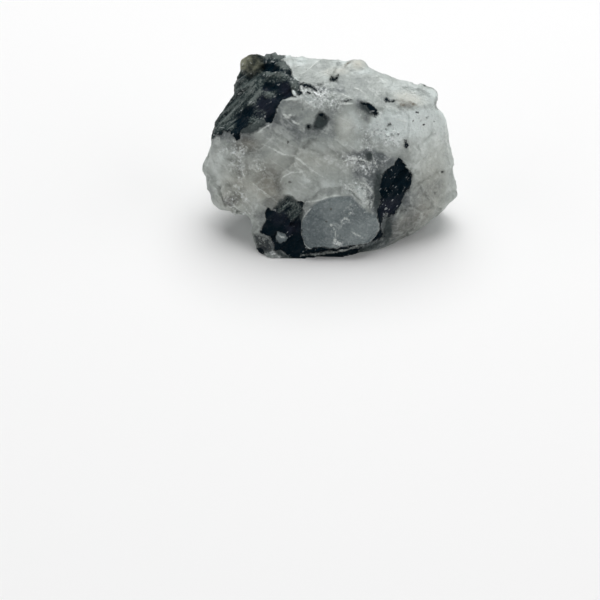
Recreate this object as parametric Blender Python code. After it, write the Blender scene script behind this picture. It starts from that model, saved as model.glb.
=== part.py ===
"""Rough rock: one broken chunk of milky feldspar with black tourmaline grown through it.

The chunk is a block split along its cleavage planes. Each plane is given as a person would measure
it on the stone: the compass direction that it faces (0 is towards the viewer, 90 is to the right),
how far that direction rises above level, and how far the plane lies from the heart of the stone.
Wedges are then broken away where the outline turns inwards, the skin is divided into even
triangles, its creases are worn, and the relief of each mineral is raised or sunk.
Lengths are in millimetres up to the last step, which writes the mesh in metres.
"""

import math
from dataclasses import dataclass

import bmesh
import bpy
from mathutils import Matrix, Vector, noise

MM = 0.001

# The chunk measures about 50 wide, 29 deep and 36 high.
BLANK_SIDE = 90.0
REST_LEVEL = -19.9
REST_CLEARANCE = 1.5

# Cleavage planes: facing, rise, distance from the heart.
VISIBLE_PLANES = {
    "crown_right": (33, 71, 11.6),
    "crown_left": (24, 73, 11.6),
    "front": (0, 22, 2.4),
    "smoky_front": (-4, 15, 3.0),
    "foot": (1, 10, 3.8),
    "right_cheek": (29, 14, 7.8),
    "right_jaw": (25, -8, 10.7),
    "right_chin": (36, -25, 16.8),
    "left_cheek": (-34, 6, 10.2),
    "tourmaline_flank": (-63, 41, 15.1),
    "tourmaline_face": (-34, 43, 10.2),
    "tourmaline_crown": (-62, 66, 15.9),
}
EDGE_PLANES = {
    "crown_back_left": (174, 45, 18.3),
    "crown_back": (178, 43, 18.4),
    "crown_back_middle": (151, 38, 18.9),
    "crown_back_right": (164, 41, 19.2),
    "crown_corner": (-133, 37, 24.2),
    "right_upper": (109, 17, 23.9),
    "right_middle": (106, 11, 23.7),
    "right_lower": (100, 6, 24.7),
    "right_heel": (63, -39, 24.1),
    "front_heel": (43, -51, 21.8),
    "left_upper": (-107, 14, 22.9),
    "left_middle": (-106, 12, 22.8),
    "left_lower": (-86, -12, 25.3),
    "left_heel": (-71, -39, 25.1),
}
BACK_PLANES = {
    "back": (176, 8, 19.0),
    "back_right": (132, 2, 22.5),
    "back_left": (-140, 4, 22.5),
    "back_foot": (165, -28, 21.5),
    "back_left_foot": (-135, -34, 24.0),
    "rest_face": (0, -90, -REST_LEVEL),
}

# What broke away lies outside both planes of its pair.
BROKEN_WEDGES = {
    "right_notch": ((93, 0, 20.6), (159, 47, 14.2)),
    "shoulder": ((-98, 5, 20.0), (-113, 22, 21.9)),
    "undercut": ((-30, -55, 16.7), (-87, -15, 19.0)),
}

# The skin: the longest edge left in plain and in rugged places, and the sharpest angle that still
# counts as flat.
PLAIN_EDGE = 1.9
RUGGED_EDGE = 1.25
DIVIDING_ROUNDS = 8
FLAT_ANGLE = math.radians(1.0)
WEAR = 0.5

CREASE_ANGLE = math.radians(32)
FELDSPAR_COLOUR = (0.50, 0.53, 0.50, 1.0)
FELDSPAR_ROUGHNESS = 0.45

# The viewer looks down on the stone at this angle, from this far.
VIEW_RISE = 38.0
VIEW_DISTANCE = 420.0


def smooth_step(share):
    """Eases a share from 0 to 1, and holds it there."""
    share = min(max(share, 0.0), 1.0)
    return share * share * (3 - 2 * share)


@dataclass(frozen=True)
class Patch:
    """An oval on the side towards the viewer, measured from the heart as the viewer sees it."""

    across: float
    up: float
    half_length: float
    half_width: float
    turn: float
    lift: float
    grain: float = 0.0
    squareness: float = 2.0
    rim: float = 0.8
    rugged: bool = True

    def share(self, across, up):
        """How much of the patch there is at a point of the view: 1 inside, 0 outside its rim."""
        turn = math.radians(self.turn)
        right, rise = across - self.across, up - self.up
        along = abs(right * math.cos(turn) + rise * math.sin(turn)) / self.half_length
        beside = abs(rise * math.cos(turn) - right * math.sin(turn)) / self.half_width
        reach = (along**self.squareness + beside**self.squareness) ** (1 / self.squareness)
        inside = (1 - reach) * min(self.half_length, self.half_width)
        return smooth_step(inside / self.rim + 0.5)


PATCHES = {
    "tourmaline": Patch(-14.5, 12.0, 12.0, 6.5, 43, 0.25, squareness=3.0),
    "knob": Patch(-14.6, 18.2, 2.6, 2.0, 20, 0.6, rim=1.6),
    "lens": Patch(12.6, -6.0, 7.6, 3.0, 75, -0.7, grain=0.35),
    "low_tourmaline": Patch(-8.7, -13.8, 6.2, 4.3, -80, -0.7, grain=0.35, squareness=2.5),
    "low_crystal": Patch(-9.4, -15.6, 1.2, 1.0, 40, 0.6),
    "plate": Patch(2.2, -12.8, 7.5, 5.0, 0, 0.45, squareness=3.5, rugged=False),
    "foot_strip": Patch(1.5, -19.2, 6.5, 1.5, 3, -1.0),
    "frosted_wedge": Patch(7.0, -4.5, 5.5, 3.0, -60, 0.3, grain=0.45),
    "dome": Patch(-6.2, -5.0, 4.0, 2.7, 10, 0.5, rim=2.2, rugged=False),
    "crown_grain": Patch(7.5, 9.6, 2.3, 1.4, -38, 0.55, grain=0.3),
    "crown_tip": Patch(5.2, 18.6, 1.8, 1.4, -20, 0.8, rim=1.4),
    "crown_corner": Patch(17.4, 14.0, 3.8, 1.6, -20, 0.7, rim=1.6),
    "round_pit": Patch(-1.6, 7.0, 1.6, 1.5, 0, -0.4),
    "left_crumbs": Patch(-18.5, -6.0, 8.5, 5.5, 80, 0.1, grain=0.9, rim=2.5),
    "right_hollow": Patch(25.0, -3.6, 3.6, 1.8, 88, -0.6, rim=1.4),
    "thumb_mark": Patch(-13.9, -2.1, 1.6, 1.3, 90, -0.35),
}

# Relief of the whole skin. The fibres of the tourmaline run along its growth.
SWELL_HEIGHT = 0.45
SWELL_LENGTH = 7.0
RIPPLE_HEIGHT = 0.2
RIPPLE_LENGTH = 3.1
GRAIN_LENGTH = 1.9
FIBRE_HEIGHT = 0.6
FIBRE_WIDTH = 1.5
FIBRE_SQUEEZE = 0.18
TERRACE_HEIGHT = 1.6
TERRACE_LENGTH = 8.5
TERRACE_STEP = 0.7
TERRACE_PLACE = Vector((4.0, 1.0, 7.0))
FRONT_LIMIT = -0.3
FRONT_FADE = 0.25


def direction(facing, rise):
    """The unit direction of a compass facing and a rise, both in degrees."""
    turn, lift = math.radians(facing), math.radians(rise)
    return Vector(
        (math.sin(turn) * math.cos(lift), -math.cos(turn) * math.cos(lift), math.sin(lift))
    )


TO_VIEWER = direction(0, VIEW_RISE)
GROWTH = direction(-83, -47)


def cleave(bm, plane, keep_inside=True):
    """Splits the solid in bm along one plane, drops the far side and closes the cut."""
    facing, rise, reach = plane
    normal = direction(facing, rise)
    cut = bmesh.ops.bisect_plane(
        bm,
        geom=bm.verts[:] + bm.edges[:] + bm.faces[:],
        dist=1e-5,
        plane_co=normal * reach,
        plane_no=normal if keep_inside else -normal,
        clear_outer=True,
    )
    rim = [item for item in cut["geom_cut"] if isinstance(item, bmesh.types.BMEdge)]
    if rim:
        bmesh.ops.contextual_create(bm, geom=rim)


def cleaved_block(planes, keep_inside=True):
    """A cube cut down by all the planes, as a new bmesh."""
    bm = bmesh.new()
    bmesh.ops.create_cube(bm, size=BLANK_SIDE)
    for plane in planes:
        cleave(bm, plane, keep_inside)
    bmesh.ops.recalc_face_normals(bm, faces=bm.faces[:])
    return bm


def object_from(bm, name):
    """An object in the scene that holds the bmesh, which is freed."""
    mesh = bpy.data.meshes.new(name)
    bm.to_mesh(mesh)
    bm.free()
    placed = bpy.data.objects.new(name, mesh)
    bpy.context.scene.collection.objects.link(placed)
    return placed


def break_away(body, wedge):
    """Cuts the wedge out of the body and removes it."""
    modifier = body.modifiers.new(wedge.name, "BOOLEAN")
    modifier.operation = "DIFFERENCE"
    modifier.solver = "EXACT"
    modifier.object = wedge
    graph = bpy.context.evaluated_depsgraph_get()
    broken = bpy.data.meshes.new_from_object(body.evaluated_get(graph))
    body.modifiers.clear()
    body.data = broken
    bpy.data.objects.remove(wedge)


def is_flat(edge):
    """Whether the two faces of an edge lie in one plane."""
    return edge.calc_face_angle(math.pi) < FLAT_ANGLE


def rests(face):
    """Whether a face is the one that the stone rests on."""
    return face.calc_center_median().z < REST_LEVEL + 0.01


def skin_faces(bm):
    """Every face but the rest face."""
    return [face for face in bm.faces if not rests(face)]


def is_long(edge):
    """Whether an edge is longer than its place on the skin allows."""
    across, up = seen_from_viewer((edge.verts[0].co + edge.verts[1].co) / 2)
    in_patch = any(patch.rugged and patch.share(across, up) > 0 for patch in PATCHES.values())
    in_view = any(face.normal.dot(TO_VIEWER) > 0 for face in edge.link_faces)
    return edge.calc_length() > (RUGGED_EDGE if in_patch and in_view else PLAIN_EDGE)


def divide_skin(bm):
    """Divides the flat faces into even triangles and leaves every crease where it is."""
    bmesh.ops.dissolve_limit(
        bm, angle_limit=FLAT_ANGLE, verts=bm.verts[:], edges=bm.edges[:]
    )
    for _ in range(DIVIDING_ROUNDS):
        bmesh.ops.triangulate(bm, faces=skin_faces(bm))
        bm.normal_update()
        long_edges = [edge for edge in bm.edges if is_long(edge)]
        bmesh.ops.subdivide_edges(bm, edges=long_edges, cuts=1)
        bmesh.ops.triangulate(bm, faces=skin_faces(bm))
        flat_edges = [edge for edge in bm.edges if is_flat(edge)]
        bmesh.ops.beautify_fill(bm, faces=skin_faces(bm), edges=flat_edges)
        inner = [vert for vert in bm.verts if all(is_flat(edge) for edge in vert.link_edges)]
        smooth(bm, inner, WEAR)


def smooth(bm, verts, factor):
    """Moves each point towards the middle of its neighbours."""
    bmesh.ops.smooth_vert(
        bm, verts=verts, factor=factor, use_axis_x=True, use_axis_y=True, use_axis_z=True
    )


def wear_creases(bm):
    """Rounds the creases, and the rim of the rest face within its level."""
    rim = [vert for vert in bm.verts if vert.co.z < REST_LEVEL + 0.01]
    smooth(bm, bm.verts[:], WEAR)
    for vert in rim:
        vert.co.z = REST_LEVEL


def seen_from_viewer(point):
    """Where the viewer sees a point: how far right of the heart and how far above it."""
    rise = math.radians(VIEW_RISE)
    scale = VIEW_DISTANCE / (VIEW_DISTANCE - point.dot(TO_VIEWER))
    up = point.y * math.sin(rise) + point.z * math.cos(rise)
    return point.x * scale, up * scale


def squeezed(point, axis, factor):
    """A point squeezed along an axis, so that a noise read there runs along it."""
    return point - axis * (point.dot(axis) * (1 - factor))


def terraced(height):
    """A height pushed towards whole steps, as cleavage leaves it."""
    level = math.floor(height / TERRACE_STEP)
    rise = smooth_step((height / TERRACE_STEP - level) * 2 - 0.5)
    return (level + rise) * TERRACE_STEP


def relief(point, normal):
    """How far the skin stands out of its plane at a point, in mm."""
    across, up = seen_from_viewer(point)
    front = smooth_step((normal.dot(TO_VIEWER) - FRONT_LIMIT) / FRONT_FADE)
    shares = {name: front * patch.share(across, up) for name, patch in PATCHES.items()}
    swell = SWELL_HEIGHT * noise.noise(point / SWELL_LENGTH)
    ripple = RIPPLE_HEIGHT * noise.noise(point / RIPPLE_LENGTH)
    broken = TERRACE_HEIGHT * noise.noise(point / TERRACE_LENGTH + TERRACE_PLACE)
    fibres = FIBRE_HEIGHT * noise.noise(squeezed(point, GROWTH, FIBRE_SQUEEZE) / FIBRE_WIDTH)
    grain = noise.noise(point / GRAIN_LENGTH)
    height = (swell + ripple) * (1 - 0.8 * shares["plate"]) + fibres * shares["tourmaline"]
    height += terraced(broken) * (1 - front)
    for name, patch in PATCHES.items():
        height += shares[name] * (patch.lift + patch.grain * grain)
    return height


def raise_relief(bm):
    """Moves the skin out and in by its relief; the rim of the rest face moves within its level."""
    bm.normal_update()
    moves = []
    for vert in bm.verts:
        clear = smooth_step((vert.co.z - REST_LEVEL) / REST_CLEARANCE)
        sideways = Vector((vert.normal.x, vert.normal.y, vert.normal.z * clear))
        moves.append(sideways * relief(vert.co, vert.normal))
    for vert, move in zip(bm.verts, moves):
        vert.co += move
        vert.co.z = max(vert.co.z, REST_LEVEL)
    bmesh.ops.triangulate(bm, faces=bm.faces[:])


def stand_at_origin(bm):
    """Puts the middle of the ground rectangle under the stone at the origin, and turns mm to m."""
    low = Vector(min(vert.co[axis] for vert in bm.verts) for axis in range(3))
    high = Vector(max(vert.co[axis] for vert in bm.verts) for axis in range(3))
    ground = Vector(((low.x + high.x) / 2, (low.y + high.y) / 2, low.z))
    bmesh.ops.translate(bm, vec=-ground, verts=bm.verts[:])
    bmesh.ops.transform(bm, matrix=Matrix.Scale(MM, 4), verts=bm.verts[:])


def feldspar():
    """The milky grey-white of the stone as a whole."""
    material = bpy.data.materials.new("milky_feldspar")
    material.use_nodes = True
    surface = material.node_tree.nodes["Principled BSDF"]
    surface.inputs["Base Color"].default_value = FELDSPAR_COLOUR
    surface.inputs["Roughness"].default_value = FELDSPAR_ROUGHNESS
    return material


def main():
    """Builds the one stone."""
    for leftover in list(bpy.data.objects):
        bpy.data.objects.remove(leftover)
    planes = [*VISIBLE_PLANES.values(), *EDGE_PLANES.values(), *BACK_PLANES.values()]
    rock = object_from(cleaved_block(planes), "rock")
    for name, pair in BROKEN_WEDGES.items():
        break_away(rock, object_from(cleaved_block(pair, keep_inside=False), name))

    skin = bmesh.new()
    skin.from_mesh(rock.data)
    divide_skin(skin)
    wear_creases(skin)
    raise_relief(skin)
    stand_at_origin(skin)
    skin.to_mesh(rock.data)
    skin.free()
    rock.data.polygons.foreach_set("use_smooth", [True] * len(rock.data.polygons))
    rock.data.set_sharp_from_angle(angle=CREASE_ANGLE)
    rock.data.materials.append(feldspar())


main()
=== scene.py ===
"""A rough chunk of milky feldspar with black tourmaline grown through it, on a pale studio floor.

The chunk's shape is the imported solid's. It is resampled finely, its minerals are marked out on it,
each mineral gets its own relief and its own finish, and a small studio is lit around it.
"""

from __future__ import annotations

import logging
import math
from dataclasses import dataclass
from enum import Enum
from typing import Any

import bpy
import numpy as np
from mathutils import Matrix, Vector, noise
from mathutils.kdtree import KDTree


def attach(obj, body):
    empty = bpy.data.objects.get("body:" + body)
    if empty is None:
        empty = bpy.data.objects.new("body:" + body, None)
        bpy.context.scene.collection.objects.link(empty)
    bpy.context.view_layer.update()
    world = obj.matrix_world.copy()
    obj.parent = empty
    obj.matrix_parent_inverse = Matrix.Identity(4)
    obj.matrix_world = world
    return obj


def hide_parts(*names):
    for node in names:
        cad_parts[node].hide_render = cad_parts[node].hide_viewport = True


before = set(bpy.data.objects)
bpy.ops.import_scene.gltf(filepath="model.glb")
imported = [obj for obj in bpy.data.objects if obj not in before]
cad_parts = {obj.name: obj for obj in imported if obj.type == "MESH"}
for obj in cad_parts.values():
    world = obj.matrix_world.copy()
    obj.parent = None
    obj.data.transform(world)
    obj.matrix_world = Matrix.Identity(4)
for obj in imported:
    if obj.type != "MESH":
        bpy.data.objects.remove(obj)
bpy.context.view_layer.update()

LOG = logging.getLogger("rough_rock")
MM = 0.001
# The depth that stands for far outside a mark, in mm.
FAR_OUTSIDE = -4.0
# How wide the soft edge of a glow's outline is, in pixels.
SOFT_BOUND = 2.5
# How thick a streak is at its ends, as a share of its width.
THIN_END = 0.25
# How fast the noise of a pocket's edge fades, how much finer each octave is, and how many it has.
POCKET_NOISE = (0.8, 2.0, 3)

Colour = tuple[float, float, float]
Place = tuple[float, float, float]
Pixel = tuple[float, float]


class Mark(Enum):
    """A mineral or a stain that is marked out on the stone, among them pale veins with painted glints;
    the value names its attribute.
    """

    TOURMALINE = "tourmaline"
    FIBRE = "fibre"
    VIOLET = "violet"
    GRANULAR = "granular"
    PLATE = "plate"
    FROST = "frost"
    CREAM = "cream"
    RUST = "rust"
    VEIN_AND_GLINT = "vein_and_glint"
    SUNK = "sunk"


class Tint(Enum):
    """Something that varies softly over the stone; the value names its attribute.

    Tone and shade makes the stone paler or darker, partly its own tone and partly painted light
    and shade. Warmth makes it browner, partly stains and partly painted brown shade. Crest is high
    on ridges and low in hollows, and paints ridges paler and hollows darker as painted highlight
    and shade; the facet seam is high where two broken facets meet.
    """

    TONE_AND_SHADE = "tone_and_shade"
    WARMTH = "warmth"
    CREST = "crest"
    FACET_SEAM = "facet_seam"


# How wide the edge of each mark is, and how far it wanders, in mm.
EDGES: dict[Mark, tuple[float, float]] = {
    Mark.TOURMALINE: (0.22, 1.3),
    Mark.FIBRE: (1.2, 1.6),
    Mark.VIOLET: (1.2, 1.4),
    Mark.GRANULAR: (0.8, 1.5),
    Mark.PLATE: (0.5, 0.6),
    Mark.FROST: (2.0, 3.0),
    Mark.CREAM: (1.6, 1.6),
    Mark.RUST: (0.6, 1.2),
    Mark.VEIN_AND_GLINT: (0.16, 0.35),
    Mark.SUNK: (0.6, 1.1),
}


# The viewer


@dataclass(frozen=True)
class Viewer:
    """Where the photograph was taken from, measured from the heart of the stone's front."""

    heart: Place = (-0.66 * MM, -7.29 * MM, 19.90 * MM)
    rise_deg: float = 38.0
    distance: float = 420.0 * MM
    pixels_per_mm: float = 5.16
    picture_side: float = 600.0
    sensor_mm: float = 36.0
    pitch_deg: float = 41.779
    turn_deg: float = 0.971
    clip_start: float = 0.01

    def place(self) -> Vector:
        """Works out where the lens is."""
        rise = math.radians(self.rise_deg)
        return Vector(self.heart) + self.distance * Vector((0.0, -math.cos(rise), math.sin(rise)))

    def focal_pixels(self) -> float:
        """Gives the focal length in pixels."""
        return self.pixels_per_mm * self.distance / MM

    def axes(self) -> tuple[Vector, Vector, Vector]:
        """Works out which way the camera points.

        Returns:
            Its right, up and back directions.
        """
        turn, pitch = math.radians(self.turn_deg), math.radians(self.pitch_deg)
        level = Vector((math.sin(turn), -math.cos(turn), 0.0))
        back = level * math.cos(pitch) + Vector((0.0, 0.0, math.sin(pitch)))
        right = Vector((math.cos(turn), math.sin(turn), 0.0))
        return right, back.cross(right), back

    def pixels(self, points: np.ndarray) -> np.ndarray:
        """Projects points into the photograph.

        Args:
            points: Places in metres, one to a row.

        Returns:
            Their pixels, one to a row, x to the right and y down.
        """
        right, up, back = (np.array(axis) for axis in self.axes())
        offset = points - np.array(self.place())
        reach = self.focal_pixels() / -(offset @ back)
        middle = self.picture_side / 2
        return np.stack([middle + reach * (offset @ right), middle - reach * (offset @ up)], 1)

    def set_up(self) -> bpy.types.Object:
        """Adds the camera and makes it the scene's.

        Returns:
            The camera.
        """
        bpy.ops.object.camera_add(
            location=self.place(),
            rotation=(math.radians(90.0 - self.pitch_deg), 0.0, math.radians(self.turn_deg)),
        )
        camera = bpy.context.object
        camera.name = "viewer"
        camera.data.sensor_width = self.sensor_mm
        camera.data.lens = self.focal_pixels() * self.sensor_mm / self.picture_side
        camera.data.clip_start = self.clip_start
        bpy.context.scene.camera = camera
        return camera


VIEWER = Viewer()


# Marks


def smooth_step(share: np.ndarray) -> np.ndarray:
    """Eases shares between 0 and 1 and holds them there."""
    share = np.clip(share, 0.0, 1.0)
    return share * share * (3.0 - 2.0 * share)


def share_inside(depth: np.ndarray, width: float, middle: float = 0.5) -> np.ndarray:
    """Gives 0 outside and 1 inside, with a soft edge of a width; middle is the share at depth 0."""
    return smooth_step(depth / width + middle)


def spread(values: np.ndarray, ends: np.ndarray) -> np.ndarray:
    """Averages the value of each point with those of its neighbours.

    Args:
        values: One value for each point.
        ends: The two points of each edge, one edge to a row.

    Returns:
        The averages.
    """
    first, second = ends[:, 0], ends[:, 1]
    total = np.bincount(first, values[second], len(values))
    total += np.bincount(second, values[first], len(values))
    count = np.bincount(ends.ravel(), minlength=len(values))
    return (total + values) / (count + 1.0)


def reach_to_path(pixels: np.ndarray, path: np.ndarray) -> tuple[np.ndarray, np.ndarray]:
    """Measures how far each pixel is from the nearest point of an open path.

    Args:
        pixels: The pixels, one to a row.
        path: The corners of the path, one to a row.

    Returns:
        For each pixel its distance in pixels, and how far along the path the nearest point is,
        from 0 to 1.
    """
    nearest, along_path = np.full(len(pixels), np.inf), np.zeros(len(pixels))
    spans = np.linalg.norm(np.diff(path, axis=0), axis=1)
    starts = np.concatenate([[0.0], np.cumsum(spans)])
    for index, (start, end) in enumerate(zip(path[:-1], path[1:])):
        along = end - start
        share = np.clip((pixels - start) @ along / max(along @ along, 1e-9), 0.0, 1.0)
        gap = np.linalg.norm(pixels - start - share[:, None] * along, axis=1)
        closer = gap < nearest
        nearest = np.where(closer, gap, nearest)
        here = (starts[index] + share * spans[index]) / max(starts[-1], 1e-9)
        along_path = np.where(closer, here, along_path)
    return nearest, along_path


@dataclass(frozen=True)
class Outline:
    """An area with corners, as the photograph shows it, in pixels."""

    corners: tuple[Pixel, ...]

    def depth(self, pixels: np.ndarray) -> np.ndarray:
        """Measures how deep inside the outline each pixel is.

        Args:
            pixels: The pixels, one to a row.

        Returns:
            The depths in pixels; outside they are negative.
        """
        ring = np.array(self.corners + self.corners[:1])
        inside = np.zeros(len(pixels), bool)
        for (x0, y0), (x1, y1) in zip(ring[:-1], ring[1:]):
            if y0 == y1:
                continue
            crosses = (pixels[:, 1] < y0) != (pixels[:, 1] < y1)
            edge_x = x0 + (pixels[:, 1] - y0) * (x1 - x0) / (y1 - y0)
            inside ^= crosses & (pixels[:, 0] < edge_x)
        return reach_to_path(pixels, ring)[0] * np.where(inside, 1.0, -1.0)


@dataclass(frozen=True)
class Oval:
    """A round or oval area, as the photograph shows it, in pixels."""

    x: float
    y: float
    wide: float
    high: float
    turn_deg: float = 0.0

    def reach(self, pixels: np.ndarray) -> np.ndarray:
        """Measures how far out each pixel is.

        Args:
            pixels: The pixels, one to a row.

        Returns:
            For each pixel 0 in the middle, 1 on the edge and more outside.
        """
        turn = math.radians(self.turn_deg)
        right, down = pixels[:, 0] - self.x, pixels[:, 1] - self.y
        along = (right * math.cos(turn) + down * math.sin(turn)) / self.wide
        beside = (down * math.cos(turn) - right * math.sin(turn)) / self.high
        return np.hypot(along, beside)

    def depth(self, pixels: np.ndarray) -> np.ndarray:
        """Measures how deep inside the oval each pixel is; outside it is negative."""
        return (1.0 - self.reach(pixels)) * min(self.wide, self.high)


@dataclass(frozen=True)
class Streak:
    """A thin line, as the photograph shows it, in pixels."""

    width: float
    path: tuple[Pixel, ...]

    def depth(self, pixels: np.ndarray) -> np.ndarray:
        """Measures how deep inside the line each pixel is.

        Args:
            pixels: The pixels, one to a row.

        Returns:
            The depths in pixels; outside they are negative.
        """
        gap, along = reach_to_path(pixels, np.array(self.path))
        share = THIN_END + (1.0 - THIN_END) * 4.0 * along * (1.0 - along)
        return self.width / 2 * share - gap


@dataclass(frozen=True)
class Pocket:
    """An egg-shaped space inside the stone, in mm, that marks the hidden skin it reaches."""

    centre: Place
    radii: Place
    bump_length: float = 3.5
    bump_share: float = 0.55

    def depth(self, points_mm: np.ndarray) -> np.ndarray:
        """Measures how deep inside the space, whose edge is bumpy, each point is.

        Args:
            points_mm: The points in mm, one to a row.

        Returns:
            The depths in mm; outside they are negative.
        """
        offset = (points_mm - np.array(self.centre)) / np.array(self.radii)
        near = (1.0 - np.linalg.norm(offset, axis=1)) * min(self.radii)
        places = [Vector(point / self.bump_length) for point in points_mm]
        bumps = np.array([noise.fractal(place, *POCKET_NOISE) for place in places])
        return near + bumps * min(self.radii) * self.bump_share


@dataclass(frozen=True)
class Glow(Oval):
    """A soft oval that adds an amount to a tint, only inside an outline where it has one."""

    amount: float = 0.0
    within: Outline | None = None

    def strength(self, pixels: np.ndarray) -> np.ndarray:
        """Works out how much is added; it fades out beyond the radii.

        Args:
            pixels: The pixels, one to a row.

        Returns:
            The amount at each pixel.
        """
        strength = self.amount * np.exp(-(self.reach(pixels) ** 3))
        if self.within:
            strength *= share_inside(self.within.depth(pixels), SOFT_BOUND)
        return strength


Shape = Outline | Oval | Streak


def outline(*corners: Pixel) -> Outline:
    """Makes an outline of its corners."""
    return Outline(corners)


def ovals(*rows: tuple[float, ...]) -> tuple[Oval, ...]:
    """Makes ovals, each of its middle, its two radii and its turn in degrees."""
    return tuple(Oval(*row) for row in rows)


def streaks(*rows: tuple[Any, ...]) -> tuple[Streak, ...]:
    """Makes streaks, each of its width and the corners of its path."""
    return tuple(Streak(width, tuple(path)) for width, *path in rows)


def glows(*rows: tuple[Any, ...]) -> tuple[Glow, ...]:
    """Makes glows, each of its middle, radii, turn in degrees, amount and outline."""
    return tuple(Glow(*row) for row in rows)


CROWN_MASS = outline(
    (236, 50), (252, 45), (266, 46), (286, 49), (285, 57), (281, 60), (285, 62), (290, 69), (292, 75),
    (296, 80), (300, 84), (299, 89), (301, 95), (293, 97), (286, 98), (281, 100), (278, 106), (275, 116),
    (271, 123.5), (266, 122.5), (264, 118), (256, 121), (248, 126), (241, 131), (239.5, 139), (236, 141),
    (233, 136), (229, 132), (223, 131), (221, 135), (216, 135), (213, 139), (211, 138), (204, 132),
    (222, 104), (229, 92), (231, 76), (234, 64),
)
LENS = outline(
    (398.6, 157), (403, 161), (407, 168), (411, 172.5), (412, 180), (411, 186.5), (406, 192), (402, 200),
    (400.5, 206.5), (394, 214), (388.5, 217), (382, 219.5), (380.6, 229), (384, 236), (380, 239),
    (372.5, 242), (377, 235), (379.7, 229), (378, 220), (377.5, 212), (379, 205), (381, 199), (380, 192),
    (381, 184), (382, 175), (386.5, 170.5), (394, 165),
)
FOOT_PATCH = outline(
    (267, 208.5), (273, 211), (275.5, 209), (280, 206.5), (284, 202), (288, 198.6), (291.5, 200.5),
    (296, 203), (299.5, 201), (304, 203), (303, 207), (302, 211), (300, 214), (299.5, 218),
    (301.3, 225.5), (301.7, 234.3), (304, 241.5), (307.5, 250.5), (305, 254), (301, 258), (288.8, 256),
    (280.7, 251.3), (273.6, 250.4), (273.6, 243.2), (269, 235.2), (261, 232.5), (262, 228), (265.5, 221),
    (264.6, 213.8),
)
FOOT_STRIP = outline(
    (306, 250.5), (314.6, 247), (324, 247), (336, 248.7), (348, 245.8), (359, 245), (370, 243),
    (361, 249.5), (354, 256), (349, 262), (340, 264), (329, 264), (314, 262), (300, 262), (290, 258),
)
FOOT_CORNER = outline(
    (256, 248.5), (260, 247.5), (264, 252), (263, 256), (268, 261), (284, 258), (284, 264), (254, 266),
)
PLATE = outline(
    (302, 219), (307.5, 212), (310.5, 206.5), (320, 200), (338.5, 195.7), (351.5, 195.5), (360, 205),
    (368, 211.5), (375.5, 214), (378.7, 226), (375.5, 236), (368, 242.7), (358, 245), (347, 246),
    (336, 248), (322, 247.5), (310, 249.5), (304.8, 245), (301.3, 234.3), (301.3, 225),
)
CROWN_GRAIN = outline(
    (357, 101.2), (361, 102.4), (367, 102.8), (372, 104.6), (376.5, 109), (378, 114), (375, 116.5),
    (371.5, 111.5), (366, 106.5), (360, 103),
)
CROWN_SPOT = outline(
    (331.6, 76.3), (335.2, 76.3), (338.8, 73.6), (338.3, 77), (336.5, 81), (333.4, 81), (329.8, 79.4),
)
CROWN_DASH = outline(
    (383.8, 98.6), (387, 97.2), (390.5, 99.5), (396, 100.4), (394, 101.4), (389.6, 101), (386, 101),
)
CLEAR_FRONT = outline(
    (268, 121), (276, 115), (279, 105), (282, 100.5), (292, 99), (301, 97.7), (307.5, 102.5),
    (315, 107.5), (323, 109.5), (331, 107), (340, 105), (353, 104.5), (361, 107), (366, 116), (366, 160),
    (240, 160), (240, 134),
)
CROWN_STEP = outline(
    (323, 58), (345, 60), (338, 68), (333, 74), (330, 83), (318, 84), (306, 79), (301, 74),
)

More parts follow.
